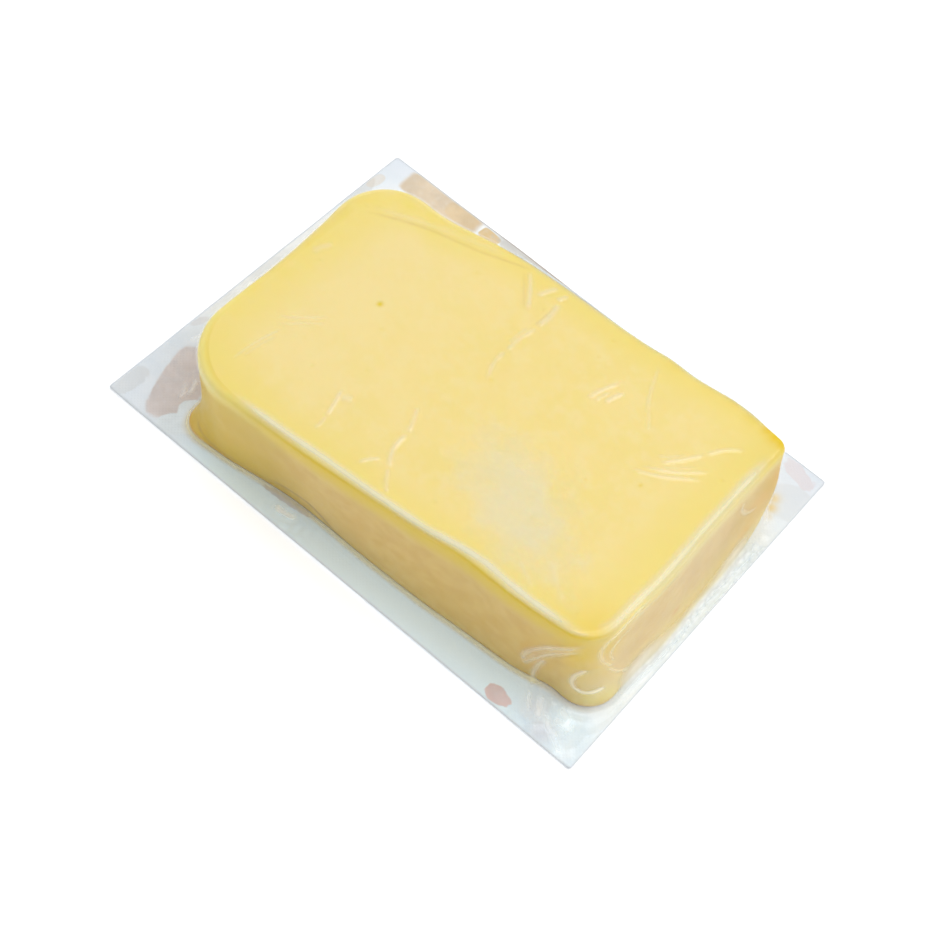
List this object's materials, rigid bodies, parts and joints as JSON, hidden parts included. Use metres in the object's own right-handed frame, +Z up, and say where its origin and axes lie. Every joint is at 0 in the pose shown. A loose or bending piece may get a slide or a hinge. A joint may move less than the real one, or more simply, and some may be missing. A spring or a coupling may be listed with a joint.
{
  "type": "gouda cheese, vacuum-packed slab",
  "caption": "Rectangular slab of pale yellow gouda under a tight clear film that is sealed to a flat printed base film with a margin all round.",
  "frame": {"origin": "middle of the pack's box, on the underside of the base film", "axes": "+X along the pack's long side towards the cut end of the slab, +Y across the pack away from the long side that the picture shows, +Z up"},
  "size_m": [0.1725, 0.1193, 0.0397],
  "materials": {
    "gouda": "satin",
    "printed_film": "semi-gloss",
    "clear_film": "gloss"
  },
  "bodies": {
    "root": {"base_web": "printed_film", "cheese": "gouda", "clear_film": "clear_film"}
  },
  "joints": []
}
